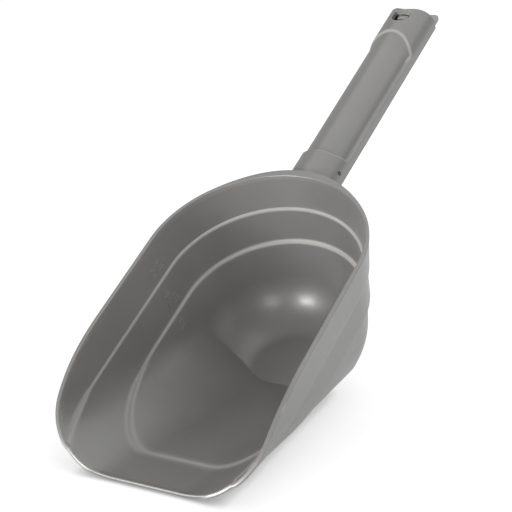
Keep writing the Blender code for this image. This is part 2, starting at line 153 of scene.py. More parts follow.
# Resolution of the handle: cells round half of its section, and rows along it.
SECTION_CELLS = 58
SECTION_OVERRUN = 0.5
ROOT_ROWS = 10
NECK_ROWS = 15
GRIP_ROW_PITCH = 0.45
GRIP_NEAR_MARGIN = 1.5
GRIP_FAR_MARGIN = 3.0
END_ROWS = 20
EDGE_ROWS = 5
ARCH_CELLS = 61
END_CELLS = 24
WINDOW_CELLS = 31
WINDOW_CORNER_CELLS = 6
PIN_HOLE_CELLS = 64

# Raised fill marks on the inside of the left wall, in millimetres.
MARK_TEXTS = ("2", "1")
MARK_STATIONS = (-12.0, -14.0)
MARK_SIZE = 6.0
MARK_HEIGHT = 0.7
MARK_OFFSET = 5.6
MARK_GAP = 6.0
BAR_LENGTHS = (4.6, 3.0, 3.0)
BAR_PITCH = 1.9
BAR_WIDTH = 0.55

# Plastics: colour, roughness, strength of the grain and of the painted highlight on sharp edges.
BODY_LOOK = ((0.213, 0.206, 0.198), 0.42, 0.10, 0.35)
MARK_LOOK = ((0.215, 0.207, 0.199), 0.44, 0.10, 0.1)
CLIP_LOOK = ((0.25, 0.242, 0.233), 0.42, 0.15, 0.2)
FLOW_DARK = 0.94
FLOW_LIGHT = 1.05
ROUGHNESS_BELOW = 0.04
ROUGHNESS_ABOVE = 0.05
PLASTIC_IOR = 2.0
COAT_IOR = 1.5
COAT_ROUGHNESS = 0.28

# Patterns in the surfaces: noise as features per metre and detail, heights in metres.
FLOW_NOISE = (35.0, 3.0)
MOTTLE_NOISE = (450.0, 4.0)
WAVE_NOISE = (60.0, 2.0)
WAVE_HEIGHT = 0.0002
WAVE_STRENGTH = 0.15
GRAIN_NOISE = (2600.0, 2.0)
GRAIN_HEIGHT = 0.00002
STEEL_COLOUR = (0.10, 0.10, 0.10, 1.0)
STEEL_ROUGHNESS = (0.28, 0.45)
STEEL_NOISE = (1800.0, 3.0)
STEEL_HEIGHT = 0.00003
STEEL_STRENGTH = 0.3

# Painted highlight on sharp edges: brightness, and the range of edge sharpness it covers.
HIGHLIGHT_LIGHTENING = 3.4
EDGE_FROM = 0.51
EDGE_TO = 0.55
# Painted highlight on the ledges and on the arched end of the palm recess.
LEDGE_HIGHLIGHT_FRONT = 0.12
LEDGE_HIGHLIGHT_BACK = 0.8
ARCH_HIGHLIGHT = 0.6
ARCH_HIGHLIGHT_START = 152.0
ARCH_HIGHLIGHT_FADE = 12.0

# Edges: the angle from which they stay sharp, and the rounding of the lever and the pin.
SHARP_ANGLE = math.radians(38)
BEVEL_ANGLE = math.radians(50)
BEVEL_SEGMENTS = 2
LEVER_ROUNDING = 0.0004
PIN_ROUNDING = 0.00025

# Studio: sizes in metres, directions as azimuth and elevation in degrees, powers in watts.
FLOOR_REACH = 6.0
FLOOR_WHITE = (0.9, 0.9, 0.9, 1.0)
FLOOR_ROUGHNESS = 0.9
FLOOR_GLOW = 0.55
FLOOR_BOUNCE = 0.11
# Painted contact shadow in the floor's glow: its reach, the occlusion where it is darkest, the glow
# left there, and samples.
CONTACT_REACH = 0.006
CONTACT_DARKEST = 0.3
CONTACT_GLOW = 0.45
CONTACT_SAMPLES = 16
SKY_COLOUR = (0.98, 0.99, 1.0, 1.0)
WORLD_GLOW = 0.40
WORLD_SEEN = 1.0
LIGHT_AIM = (0.0, 0.04, 0.03)
LIGHT_DISTANCE = 1.5
KEY_DIRECTION = (-111.0, 2.2)
KEY_SIZE = (0.62, 0.14)
KEY_POWER = 12.5
SIDE_DIRECTION = (-60.0, 4.0)
SIDE_SIZE = (0.32, 0.12)
SIDE_POWER = 2.4
FILL_DIRECTION = (60.0, 62.0)
FILL_SIZE = (2.4, 2.4)
FILL_POWER = 10.5

# Camera: place in metres, turn in degrees, lens and sensor in millimetres.
CAMERA_PLACE = (0.30190, -0.51150, 0.26085)
CAMERA_TURN = (72.46, 2.05, 29.67)
CAMERA_LENS = 98.33
CAMERA_SENSOR = 36.0
CAMERA_NEAREST = 0.01


def rim_to_row():
    """The placement of the rim frame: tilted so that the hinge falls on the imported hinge."""
    hinge = Vector(frame["joints"][0]["pos_m"])
    turn = Matrix.Rotation(RAMP_SLOPE, 4, "X")
    return Matrix.Translation(hinge - turn @ (Vector((0.0, PIN_Y, PIN_Z)) * MM)) @ turn


# --- Shape of the bowl ---------------------------------------------------------------------


def smooth_step(value):
    """A soft ramp from 0 to 1."""
    value = min(max(value, 0.0), 1.0)
    return value * value * (3.0 - 2.0 * value)


def ledge_step(ledge, depth, skin):
    """How much of one ledge's step has been taken at a depth."""
    return LEDGE_STEP * smooth_step((depth - ledge - skin) / LEDGE_SLANT)


def wall_lean(depth, skin):
    """How far the wall has moved inwards at a depth; skin is 0 inside and WALL outside."""
    lean = 0.0
    top = 0.0
    for draft, ledge in zip(BAND_DRAFTS, (*LEDGE_DEPTHS, BASE_DEPTH)):
        bottom = ledge + skin
        lean += draft * (min(depth, bottom) - min(depth, top))
        top = bottom
    return lean + sum(ledge_step(ledge, depth, skin) for ledge in LEDGE_DEPTHS)


def half_width(depth, y, skin):
    """Half width of the parallel sides at a depth and a station y."""
    return HALF_WIDTH + skin - wall_lean(depth, skin) - SIDE_TAPER * max(-y, 0.0)


def crease_y(skin):
    """Station where the sloping floor meets the flat base."""
    inside = -LIP_REACH + (BASE_DEPTH - LIP_DEPTH) / math.tan(RAMP_SLOPE)
    return inside - skin * math.tan(RAMP_SLOPE / 2)


def trough_point(angle, depth, skin):
    """Corner between the sloping floor (angle 90 degrees) and the side wall (0), at a depth.

    The lower ledge steps across the floor inside; the underside of the floor stays flat.
    """
    radius = TROUGH_FILLET + skin
    floor_depth = depth + radius * (1.0 - math.sin(angle))
    y = crease_y(skin) - (BASE_DEPTH + skin - floor_depth) / math.tan(RAMP_SLOPE)
    x = half_width(depth, y, skin) - radius * (1.0 - math.cos(angle))
    if skin == 0.0:
        y += ledge_step(LEDGE_DEPTHS[1], depth, skin)
    return x, y


def fillet_inset(depth, skin, reach, rise):
    """How far a fillet round the flat base has moved inwards at a depth."""
    sine = (depth - BASE_DEPTH + rise) / (rise + skin)
    sine = min(max(sine, 0.0), 1.0)
    return (reach + skin) * (1.0 - math.sqrt(1.0 - sine * sine))


def side_inset(depth, skin):
    """Inset of the fillet along the sides."""
    return fillet_inset(depth, skin, SIDE_FILLET_REACH, SIDE_FILLET_RISE)


def back_axes(depth, skin):
    """Half axes of the round back at a depth."""
    back_inset = fillet_inset(depth, skin, BACK_FILLET_REACH, BACK_FILLET_RISE)
    across = half_width(depth, 0.0, skin) - side_inset(depth, skin)
    along = BACK_REACH + skin - wall_lean(depth, skin) - back_inset
    return across, along


def inside_back(x, y, depth, skin):
    """Whether a point lies inside the round back and the sides that run on from it."""
    if y <= 0.0:
        return x <= half_width(depth, y, skin) - side_inset(depth, skin) + TOUCHING
    across, along = back_axes(depth, skin)
    return (x / across) ** 2 + (y / along) ** 2 <= 1.0


@lru_cache(maxsize=None)
def meeting_angle(depth, skin):
    """Angle at which the trough's corner meets the side wall or the round back."""
    low, high = 0.0, math.pi / 2
    if inside_back(*trough_point(low, depth, skin), depth, skin):
        return low
    for _ in range(ANGLE_HALVINGS):
        middle = (low + high) / 2
        if inside_back(*trough_point(middle, depth, skin), depth, skin):
            high = middle
        else:
            low = middle
    return high


def contour_point(column, depth, skin):
    """Point of the level contour at a depth, on one column of the loft."""
    if column <= FRONT_CELLS:
        corner_x, corner_y = trough_point(math.pi / 2, depth, skin)
        return corner_x * column / FRONT_CELLS, corner_y
    meeting = meeting_angle(depth, skin)
    if column <= FRONT_CELLS + CORNER_CELLS:
        share = (column - FRONT_CELLS) / CORNER_CELLS
        return trough_point(math.pi / 2 + (meeting - math.pi / 2) * share, depth, skin)
    share = (column - FRONT_CELLS - CORNER_CELLS) / WALL_CELLS
    start_x, start_y = trough_point(meeting, depth, skin)
    across, along = back_axes(depth, skin)
    straight = max(-start_y, 0.0)
    start_angle = 0.0 if start_y < 0.0 else math.atan2(start_y / along, start_x / across)
    arc = (math.pi / 2 - start_angle) * (across + along) / 2
    run = share * (straight + arc)
    if run < straight:
        y = start_y + run
        return half_width(depth, y, skin) - side_inset(depth, skin), y
    angle = start_angle + (math.pi / 2 - start_angle) * (run - straight) / arc
    return across * math.cos(angle), along * math.sin(angle)


@lru_cache(maxsize=None)
def skin_point(column, depth, skin):
    """The same point as a vector in the rim frame."""
    x, y = contour_point(column, depth, skin)
    return Vector((x, y, -depth))


def rim_depth(y):
    """Depth of the rim at a station y."""
    if y >= -LEVEL_RIM_REACH:
        return 0.0
    if y <= -LIP_REACH:
        return math.inf
    share = (-LEVEL_RIM_REACH - y) / (LIP_REACH - LEVEL_RIM_REACH)
    return LIP_DEPTH * (1.0 - (1.0 - share**DIP_POWER_START) ** (1.0 / DIP_POWER_END))


def cut_depth(column, skin):
    """Depth at which one column of the loft reaches the rim."""
    low, high = 0.0, BASE_DEPTH
    if rim_depth(contour_point(column, low, skin)[1]) <= 0.0:
        return 0.0
    for _ in range(DEPTH_HALVINGS):
        middle = (low + high) / 2
        if middle < rim_depth(contour_point(column, middle, skin)[1]):
            low = middle
        else:
            high = middle
    return high


def depth_below_rim(column, skin, start, distance):
    """Depth on a column that lies a distance along the wall from its depth at the rim."""
    top = skin_point(column, start, skin)
    low, high = start, start + distance
    for _ in range(DEPTH_HALVINGS):
        middle = (low + high) / 2
        if (skin_point(column, middle, skin) - top).length < distance:
            low = middle
        else:
            high = middle
    return high


def spaced(start, end, step):
    """Evenly spaced values after start up to end, about a step apart."""
    count = max(1, round(abs(end - start) / step))
    return [start + (end - start) * i / count for i in range(1, count + 1)]


def ring_depths(skin):
    """Depths of the loft's level rings, from the rim down to the base."""
    base = BASE_DEPTH + skin
    rise = SIDE_FILLET_RISE + skin
    depths = []
    level = 0.0
    for ledge in LEDGE_DEPTHS:
        depths += spaced(level, ledge + skin, RING_PITCH)
        level = ledge + skin + LEDGE_SLANT
        depths += spaced(ledge + skin, level, LEDGE_SLANT / LEDGE_CELLS)
    depths += spaced(level, base - rise, RING_PITCH)
    for i in range(1, FILLET_CELLS):
        depths.append(base - rise * (1 - math.sin(math.pi / 2 * i / FILLET_CELLS)))
    return depths + [base]


# --- Mesh helpers --------------------------------------------------------------------------


def link_mesh(name, mesh):
    """Link a mesh into the scene as an object and return it."""
    item = bpy.data.objects.new(name, mesh)
    bpy.context.scene.collection.objects.link(item)
    return item


def finish_bmesh(name, bm):
    """Turn a bmesh in millimetres into a new object with clean, outward faces."""
    bmesh.ops.remove_doubles(bm, verts=bm.verts, dist=MERGE_DISTANCE)
    bmesh.ops.dissolve_degenerate(bm, edges=bm.edges, dist=MERGE_DISTANCE)
    bmesh.ops.recalc_face_normals(bm, faces=bm.faces)
    mesh = bpy.data.meshes.new(name)
    bm.to_mesh(mesh)
    bm.free()
    return link_mesh(name, mesh)


def apply_modifiers(item):
    """Replace an object's mesh by the result of its modifiers."""
    graph = bpy.context.evaluated_depsgraph_get()
    mesh = bpy.data.meshes.new_from_object(item.evaluated_get(graph))
    item.modifiers.clear()
    item.data = mesh


def combine(item, other, operation):
    """Join another object to this one, or cut it away, and remove the other object."""
    boolean = item.modifiers.new(operation, "BOOLEAN")
    boolean.solver = "EXACT"
    boolean.operation = operation
    boolean.object = other
    apply_modifiers(item)
    bpy.data.objects.remove(other)


def box(name, low, high):
    """A box between two corners."""
    bm = bmesh.new()
    size = Vector(high) - Vector(low)
    centre = (Vector(high) + Vector(low)) / 2
    place = Matrix.Translation(centre) @ Matrix.Diagonal((*size, 1.0))
    bmesh.ops.create_cube(bm, size=1.0, matrix=place)
    return finish_bmesh(name, bm)


def cross_cylinder(name, radius, half_length, y, z):
    """A cylinder along X."""
    bm = bmesh.new()
    place = Matrix.Translation((0.0, y, z)) @ Matrix.Rotation(math.pi / 2, 4, "Y")
    bmesh.ops.create_cone(
        bm,
        cap_ends=True,
        segments=PIN_HOLE_CELLS,
        radius1=radius,
        radius2=radius,
        depth=2 * half_length,
        matrix=place,
    )
    return finish_bmesh(name, bm)


def prism(name, outline, low, high, place):
    """A flat outline extruded between two heights; place(u, v, w) gives each corner's point."""
    bm = bmesh.new()
    bottom = [bm.verts.new(place(u, v, low)) for u, v in outline]
    top = [bm.verts.new(place(u, v, high)) for u, v in outline]
    bm.faces.new(reversed(bottom))
    bm.faces.new(top)
    for i in range(len(outline)):
        j = (i + 1) % len(outline)
        bm.faces.new((bottom[i], bottom[j], top[j], top[i]))
    return finish_bmesh(name, bm)


def along_y(u, v, w):
    """Outline across (x) and up (z), extruded along the handle."""
    return (u, w, v)


def along_x(u, v, w):
    """Outline along the handle (y) and up (z), extruded across it."""
    return (w, u, v)


def along_z(u, v, w):
    """Outline across (x) and along (y) the handle, extruded upwards."""
    return (u, v, w)


# --- Bowl ----------------------------------------------------------------------------------


def flange_width(point):
    """How much wider the rim is at a point near the handle."""
    if point.y <= 0.0 or abs(point.x) >= FLANGE_SPREAD:
        return 0.0
    return FLANGE_WIDTH * (1.0 - (point.x / FLANGE_SPREAD) ** 2) ** 2


def bead_profile(widening):
    """The rim's rounded section, from inside to outside, as pairs of outward and upward moves."""
    radius = BEAD_ROUNDING
    points = []
    for i in range(BEAD_CELLS + 1):
        angle = math.pi / 2 * i / BEAD_CELLS
        points.append((radius * (1 - math.cos(angle)), radius * (math.sin(angle) - 1)))
    outside = BEAD_WIDTH + widening
    for i in range(BEAD_CELLS + 1):
        angle = math.pi / 2 * (1 - i / BEAD_CELLS)
        points.append((outside - radius * (1 - math.cos(angle)), radius * (math.sin(angle) - 1)))
    for inset, share, rise in BEAD_FOOT:
        points.append((outside - inset - widening * share, rise))
    return points


def bead_rings(inner_rim, outer_rim):
    """Rings of the rounded bead that runs along the whole rim, from inside to outside."""
    rings = None
    last = len(inner_rim) - 1
    for i, point in enumerate(inner_rim):
        ahead = inner_rim[min(i + 1, last)]
        behind = inner_rim[max(i - 1, 0)]
        along = (ahead - behind).normalized()
        if i in (0, last):
            along = Vector((1.0 if i == 0 else -1.0, 0.0, 0.0))
        across = outer_rim[i] - point
        across = (across - along * across.dot(along)).normalized()
        up = across.cross(along).normalized()
        profile = bead_profile(flange_width(point))
        if rings is None:
            rings = [[] for _ in profile]
        for ring, (out, rise) in zip(rings, profile):
            ring.append(point + across * out + up * rise)
    return rings


def base_rings(skin):
    """Rings that close the flat base, from its middle outwards."""
    edge = [skin_point(i, BASE_DEPTH + skin, skin) for i in COLUMNS]
    middle = Vector((0.0, (edge[0].y + edge[-1].y) / 2, -BASE_DEPTH - skin))
    return [[middle.lerp(point, share) for point in edge] for share in BASE_SHARES]


def wall_rings(skin, rim_depths, bead_height):
    """Level rings of one skin, from below the bead down to the base."""
    tops = [depth_below_rim(i, skin, rim_depths[i], bead_height) for i in COLUMNS]
    rings = []
    for depth in ring_depths(skin):
        rings.append([skin_point(i, max(depth, tops[i]), skin) for i in COLUMNS])
    return rings


def bowl_rings():
    """Rings of half the bowl: inside skin, bead and outside skin."""
    inner_depths = [cut_depth(i, 0.0) for i in COLUMNS]
    outer_depths = [cut_depth(i, WALL) for i in COLUMNS]
    inner_rim = [skin_point(i, inner_depths[i], 0.0) for i in COLUMNS]
    outer_rim = [skin_point(i, outer_depths[i], WALL) for i in COLUMNS]
    rings = base_rings(0.0)
    rings += reversed(wall_rings(0.0, inner_depths, BEAD_INNER_HEIGHT))
    rings += bead_rings(inner_rim, outer_rim)
    rings += wall_rings(WALL, outer_depths, BEAD_HEIGHT)
    rings += reversed(base_rings(WALL))
    return rings


def make_bowl():
    """The bowl's shell as one closed loft, mirrored from half to whole."""
    bm = bmesh.new()
    rows = []
    for ring in bowl_rings():
        half = [bm.verts.new(point) for point in ring]
        other = [bm.verts.new((-point.x, point.y, point.z)) for point in reversed(ring[1:-1])]
        rows.append(half + other)
    for lower, upper in zip(rows, rows[1:]):
        for i in range(len(lower)):
            j = (i + 1) % len(lower)
            bm.faces.new((lower[i], lower[j], upper[j], upper[i]))
    return finish_bmesh("bowl", bm)


# --- Handle --------------------------------------------------------------------------------


def handle_half_width(y):
    """The handle widens a little towards its end."""
    share = min(max((y - GRIP_START) / HANDLE_WIDENING_LENGTH, 0.0), 1.0)
    return HANDLE_HALF_WIDTH - HANDLE_ROOT_INSET + HANDLE_WIDENING * share


def end_y(z):
    """Station of the handle's rounded end at a height z."""
    share = min(max((z - HANDLE_BOTTOM_Z) / END_ROUND_RISE, 0.0), 1.0)
    reach = END_ROUND_REACH * (1.0 - share**END_ROUND_POWER) ** (1.0 / END_ROUND_POWER)
    return HANDLE_END - END_ROUND_REACH + reach


def recess_share(x, y, z):
    """How far down the slope round the palm recess a point lies: 0 on the rim, 1 on its floor.

    The recess is drawn in plan: a bowed near edge, a round far end, and straight long sides
    that stop at one height.
    """
    near = y - GRIP_START - GRIP_BOW * max(abs(x) - GRIP_BOW_START, 0.0) ** 2
    centre = GRIP_APEX - GRIP_ARCH_RADIUS
    arch = GRIP_ARCH_RADIUS
    if y > centre:
        arch -= math.hypot(x, y - centre)
    side = z - GRIP_SIDE_Z
    share = min(near / NEAR_SLOPE_WIDTH, arch / ARCH_SLOPE_WIDTH, side / SIDE_SLOPE_WIDTH)
    return min(max(share, 0.0), 1.0)


def wall_y(x, z, skin):
    """Station of the bowl's round back at a point of the handle's section."""
    across, along = back_axes(max(-z, 0.0), skin)
    return along * math.sqrt(max(1.0 - (x / across) ** 2, 0.0))


def flange_reach(z):
    """How far the rim's flange stands out behind the wall at a height of the handle's root."""
    return FLANGE_WIDTH * smooth_step((z + FLANGE_BLEND) / (FLANGE_BLEND - BEAD_HEIGHT))


def section_point(run, y, root_gap, inset):
    """Point of the handle's outside: run goes round the section from the top centre line."""
    half = handle_half_width(y)
    quarter = half * math.pi / 2
    size = half - inset
    around = min(abs(run), quarter) / half
    x = half * math.sin(around)
    z = HANDLE_AXIS_Z + half * math.cos(around) - max(abs(run) - quarter, 0.0)
    size -= GRIP_DEPTH * recess_share(x, y, z)
    gap = min(max(root_gap, 0.0), ROOT_FILLET)
    flare = ROOT_FILLET - math.sqrt(ROOT_FILLET**2 - (ROOT_FILLET - gap) ** 2)
    if abs(run) < quarter:
        angle = run / half
        size += flare * (ROOT_TOP_SHARE + (1.0 - ROOT_TOP_SHARE) * math.sin(abs(angle)))
        return Vector((size * math.sin(angle), y, HANDLE_AXIS_Z + size * math.cos(angle)))
    z = HANDLE_AXIS_Z - (abs(run) - quarter)
    z = max(z, HANDLE_BOTTOM_Z + inset)
    return Vector((math.copysign(size + flare, run), y, z))


def root_rows(runs, walls):
    """Rows of the handle's root: one sunk in the bowl's wall, then the fillet that leaves it."""
    sunk = [section_point(run, wall, 0.0, 0.0) for run, wall in zip(runs, walls)]
    for point in sunk:
        point.y = wall_y(point.x, point.z, WALL) - ROOT_SINK
    rows = [sunk]
    for i in range(ROOT_ROWS + 1):
        gap = ROOT_FILLET * (1 - math.cos(math.pi / 2 * i / ROOT_ROWS))
        rows.append([section_point(r, w + gap, gap, 0.0) for r, w in zip(runs, walls)])
    return rows


def rows_between(runs, starts, ends, count):
    """Rows spread from one uneven line of stations to another, without the first."""
    rows = []
    for i in range(1, count + 1):
        row = []
        for run, start, end in zip(runs, starts, ends):
            y = start + (end - start) * (i / count)
            row.append(section_point(run, y, ROOT_FILLET, 0.0))
        rows.append(row)
    return rows


def edge_rows(runs, ends):
    """Rows of the rounded edge of the handle's end."""
    rows = []
    for i in range(1, EDGE_ROWS + 1):
        angle = math.pi / 2 * i / EDGE_ROWS
        inset = END_EDGE * (1 - math.cos(angle))
        back = END_EDGE * (1 - math.sin(angle))
        rows.append([section_point(r, e - back, ROOT_FILLET, inset) for r, e in zip(runs, ends)])
    return rows


def handle_rows():
    """Rows of the handle's outside skin, from inside the bowl's wall to the rounded end."""
    quarter = HANDLE_HALF_WIDTH * math.pi / 2
    full_run = quarter + HANDLE_AXIS_Z - HANDLE_BOTTOM_Z + SECTION_OVERRUN
    runs = [full_run * i / SECTION_CELLS for i in range(-SECTION_CELLS, SECTION_CELLS + 1)]
    near = GRIP_START - GRIP_NEAR_MARGIN
    far = GRIP_APEX + GRIP_FAR_MARGIN
    bases = [section_point(run, near, ROOT_FILLET, 0.0) for run in runs]
    walls = [wall_y(base.x, base.z, WALL) + flange_reach(base.z) for base in bases]
    ends = [end_y(section_point(run, far, ROOT_FILLET, 0.0).z) for run in runs]

    rows = root_rows(runs, walls)
    fillet_ends = [wall + ROOT_FILLET for wall in walls]
    rows += rows_between(runs, fillet_ends, [near] * len(runs), NECK_ROWS)
    for y in spaced(near, far, GRIP_ROW_PITCH):
        rows.append([section_point(run, y, ROOT_FILLET, 0.0) for run in runs])
    rows += rows_between(runs, [far] * len(runs), [end - END_EDGE for end in ends], END_ROWS)
    return rows + edge_rows(runs, ends)


def close_end(bm, row):
    """Close the rounded end with strips from side to side."""
    last = len(row) - 1
    middle = last // 2
    for i in range(middle - 1):
        bm.faces.new((row[i], row[i + 1], row[last - i - 1], row[last - i]))
    bm.faces.new((row[middle - 1], row[middle], row[middle + 1]))


def close_root(bm, row):
    """Close the root inside the bowl's wall with a face that curves with the wall."""
    last = len(row) - 1
    middle = last // 2
    rungs = []
    for i in range(middle):
        left, right = row[i], row[last - i]
        rung = [left]
        for k in range(1, ROOT_CELLS):
            x = left.co.x + (right.co.x - left.co.x) * k / ROOT_CELLS
            rung.append(bm.verts.new((x, wall_y(x, left.co.z, WALL) - ROOT_SINK, left.co.z)))
        rungs.append(rung + [right])
    for lower, upper in zip(rungs, rungs[1:]):
        for k in range(ROOT_CELLS):
            bm.faces.new((lower[k], lower[k + 1], upper[k + 1], upper[k]))
    for k in range(ROOT_CELLS):
        bm.faces.new((rungs[-1][k], rungs[-1][k + 1], row[middle]))


def make_handle():
    """The handle: a fine outside skin, hollowed from below, with its window and pin holes."""
    bm = bmesh.new()
    rows = [[bm.verts.new(point) for point in row] for row in handle_rows()]
    for lower, upper in zip(rows, rows[1:]):
        for i in range(len(lower) - 1):
            bm.faces.new((lower[i], lower[i + 1], upper[i + 1], upper[i]))
        bm.faces.new((lower[-1], lower[0], upper[0], upper[-1]))
    close_end(bm, rows[-1])
    close_root(bm, rows[0])
    handle = finish_bmesh("handle", bm)
    combine(handle, make_channel(), "DIFFERENCE")
    combine(handle, window_cutter(), "DIFFERENCE")
    combine(handle, tab_notch(), "DIFFERENCE")
    hole = cross_cylinder("hole", PIN_HOLE_RADIUS, 2 * HANDLE_HALF_WIDTH, PIN_Y, PIN_Z)
    combine(handle, hole, "DIFFERENCE")
    for side in (-1, 1):
        centre = side * RIB_SPREAD
        low = (centre - RIB_THICKNESS / 2, RIB_START, RIB_BOTTOM_Z)
        high = (centre + RIB_THICKNESS / 2, RIB_END, HANDLE_AXIS_Z + RIB_RISE)
        combine(handle, box("rib", low, high), "UNION")
    return handle


def arch_outline(half, bottom):
    """Outline of the handle's hollow: straight sides under a half-round top."""
    outline = [(-half, bottom)]
    for i in range(ARCH_CELLS + 1):
        angle = math.pi - math.pi * i / ARCH_CELLS
        outline.append((half * math.cos(angle), HANDLE_AXIS_Z + half * math.sin(angle)))
    return outline + [(half, bottom)]


def make_channel():
    """The hollow inside the handle, ended by the inside of the rounded end wall."""
    outline = arch_outline(HANDLE_HALF_WIDTH - HANDLE_WALL, HANDLE_BOTTOM_Z - CUT_MARGIN)
    channel = prism("channel", outline, CHANNEL_START, HANDLE_END + CUT_MARGIN, along_y)
    reach = END_ROUND_REACH - END_WALL
    rise = END_ROUND_RISE - END_WALL
    centre_y = HANDLE_END - END_ROUND_REACH
    beyond = []
    for i in range(END_CELLS + 1):
        angle = math.pi / 2 * i / END_CELLS
        along = reach * math.cos(angle) ** (2 / END_ROUND_POWER)
        up = rise * math.sin(angle) ** (2 / END_ROUND_POWER)
        beyond.append((centre_y + along, HANDLE_BOTTOM_Z + up))
    top = CUT_MARGIN
    bottom = HANDLE_BOTTOM_Z - 2 * CUT_MARGIN
    far = HANDLE_END + 2 * CUT_MARGIN
    beyond += [(centre_y, top), (far, top), (far, bottom), (centre_y + reach, bottom)]
    side = 2 * HANDLE_HALF_WIDTH
    combine(channel, prism("end", beyond, -side, side, along_x), "DIFFERENCE")
    return channel


def window_cutter():
    """The window: straight towards the end of the handle, rounded towards the bowl."""
    corner = WINDOW_CORNER
    outline = []
    for side, first in ((1, 0.0), (-1, math.pi / 2)):
        for i in range(WINDOW_CORNER_CELLS + 1):
            angle = first + math.pi / 2 * i / WINDOW_CORNER_CELLS
            x = side * (WINDOW_HALF_WIDTH - corner) + corner * math.cos(angle)
            outline.append((x, WINDOW_FAR - corner + corner * math.sin(angle)))
    for i in range(WINDOW_CELLS + 1):
        angle = math.pi + math.pi * i / WINDOW_CELLS
        y = WINDOW_NEAR + WINDOW_ROUND + WINDOW_ROUND * math.sin(angle)
        outline.append((WINDOW_HALF_WIDTH * math.cos(angle), y))
    return prism("window", outline, -WINDOW_CUT, CUT_MARGIN, along_z)


def tab_notch():
    """The gap under the end wall, through which the lever passes to its tab."""
    half = HANDLE_HALF_WIDTH - HANDLE_WALL
    low = (-half, HANDLE_END - END_ROUND_REACH, HANDLE_BOTTOM_Z - CUT_MARGIN)
    high = (half, HANDLE_END + CUT_MARGIN, HANDLE_BOTTOM_Z + LEVER_THICKNESS + LEVER_GAP)
    return box("notch", low, high)


# --- Materials -----------------------------------------------------------------------------


class Nodes:
    """A small helper that adds and links shader nodes."""

    def __init__(self, material):
        material.use_nodes = True
        self.tree = material.node_tree
        self.shader = self.tree.nodes["Principled BSDF"]

    def add(self, kind, **settings):
        """Add a node; inputs are given by name with spaces as underscores."""
        node = self.tree.nodes.new(kind)
        for name, value in settings.items():
            label = name.replace("_", " ")
            if label in node.inputs:
                node.inputs[label].default_value = value
            else:
                setattr(node, name, value)
        return node

    def link(self, output, target):
        """Link an output socket to an input socket."""
        self.tree.links.new(output, target)

    def noise(self, place, scale, detail):
        """A noise texture over object coordinates in metres."""
        node = self.add("ShaderNodeTexNoise", Scale=scale, Detail=detail)
        self.link(place, node.inputs["Vector"])
        return node.outputs["Fac"]

    def ramp(self, value, low, high, start=0.3, end=0.7):
        """Map a value between start and end to a range."""
        node = self.add("ShaderNodeMapRange")
        limits = {"From Min": start, "From Max": end, "To Min": low, "To Max": high}
        for label, number in limits.items():
            node.inputs[label].default_value = number
        self.link(value, node.inputs["Value"])
        return node.outputs["Result"]

    def blend(self, factor, first, second):
        """Blend two colours, each given as three numbers or as an output socket."""
        mix = self.add("ShaderNodeMix", data_type="RGBA")
        for label, colour in (("A", first), ("B", second)):
            if isinstance(colour, (tuple, list)):
                mix.inputs[label].default_value = (*colour, 1.0)
            else:
                self.link(colour, mix.inputs[label])
        self.link(factor, mix.inputs["Factor"])
        return mix.outputs["Result"]

    def bump(self, height, distance, strength, below=None):
        """A bump node; below is the normal of a coarser bump."""
        node = self.add("ShaderNodeBump", Distance=distance, Strength=strength)
        self.link(height, node.inputs["Height"])
        if below is not None:
            self.link(below, node.inputs["Normal"])
        return node.outputs["Normal"]


def plastic(name, colour, roughness, grain, edge_highlight):
    """Moulded polypropylene: faint flow marks, slight waviness, a fine spark-eroded grain and
    painted edge highlights.
    """
    material = bpy.data.materials.new(name)
    nodes = Nodes(material)
    place = nodes.add("ShaderNodeTexCoord").outputs["Object"]
    flow = nodes.noise(place, *FLOW_NOISE)
    fine = nodes.noise(place, *GRAIN_NOISE)
    waves = nodes.noise(place, *WAVE_NOISE)
    mottle = nodes.noise(place, *MOTTLE_NOISE)

    dark = [channel * FLOW_DARK for channel in colour]
    light = [channel * FLOW_LIGHT for channel in colour]
    # Painted highlight: sharp edges and the stored per-vertex attribute lighten the base colour.
    highlight_colour = [channel * HIGHLIGHT_LIGHTENING for channel in colour]
    body = nodes.blend(nodes.ramp(flow, 0.0, 1.0), dark, light)
    edges = nodes.add("ShaderNodeNewGeometry").outputs["Pointiness"]
    highlight_share = nodes.add("ShaderNodeMath", operation="MAXIMUM")
    nodes.link(nodes.ramp(edges, 0.0, edge_highlight, start=EDGE_FROM, end=EDGE_TO), highlight_share.inputs[0])
    # Painted highlight stored per vertex on the ledges and the recess's arched end.
    painted_highlight = nodes.add("ShaderNodeAttribute", attribute_name="painted_highlight").outputs["Fac"]
    nodes.link(painted_highlight, highlight_share.inputs[1])
    nodes.link(nodes.blend(highlight_share.outputs["Value"], body, highlight_colour), nodes.shader.inputs["Base Color"])

    gloss = nodes.ramp(mottle, roughness - ROUGHNESS_BELOW, roughness + ROUGHNESS_ABOVE)
    nodes.link(gloss, nodes.shader.inputs["Roughness"])
    coarse = nodes.bump(waves, WAVE_HEIGHT, WAVE_STRENGTH)
    nodes.link(nodes.bump(fine, GRAIN_HEIGHT, grain, coarse), nodes.shader.inputs["Normal"])
    nodes.shader.inputs["IOR"].default_value = PLASTIC_IOR
    nodes.shader.inputs["Coat Weight"].default_value = 1.0
    nodes.shader.inputs["Coat Roughness"].default_value = COAT_ROUGHNESS
    nodes.shader.inputs["Coat IOR"].default_value = COAT_IOR
    return material


